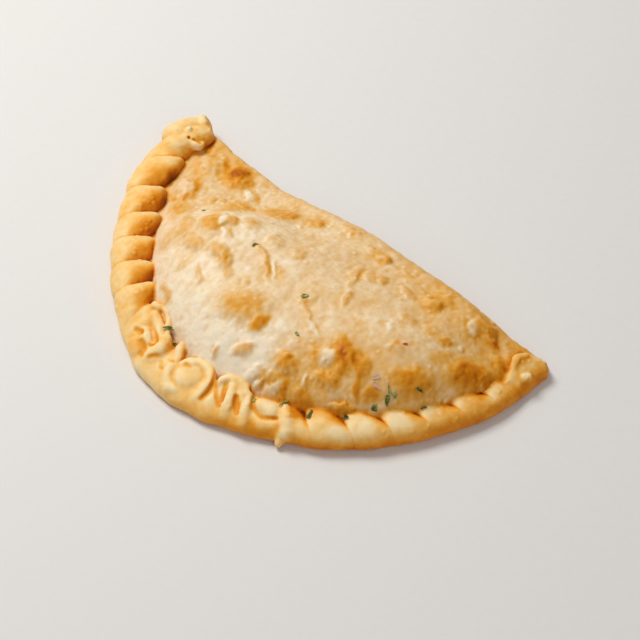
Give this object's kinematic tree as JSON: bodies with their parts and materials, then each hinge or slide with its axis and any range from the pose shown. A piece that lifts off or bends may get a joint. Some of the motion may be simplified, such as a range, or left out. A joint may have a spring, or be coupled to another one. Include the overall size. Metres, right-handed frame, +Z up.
{
  "type": "pizza empanada",
  "caption": "Half-moon turnover of fried dough, folded along a straight edge and sealed along the round edge with a twisted crimp, its top blistered and flecked with dried herb.",
  "frame": {"origin": "centre of the bounding box in plan, on the flat base that the empanada lies on", "axes": "+X along the straight fold from the knotted tip to the flattened tip, +Y from the crimped arc to the fold, +Z up through the domed top"},
  "size_m": [0.192, 0.1092, 0.0241],
  "materials": {
    "dough": "fried wheat dough, satin with a faint sheen of oil, browned on the blisters"
  },
  "bodies": {
    "root": {"empanada": "dough"}
  },
  "joints": []
}
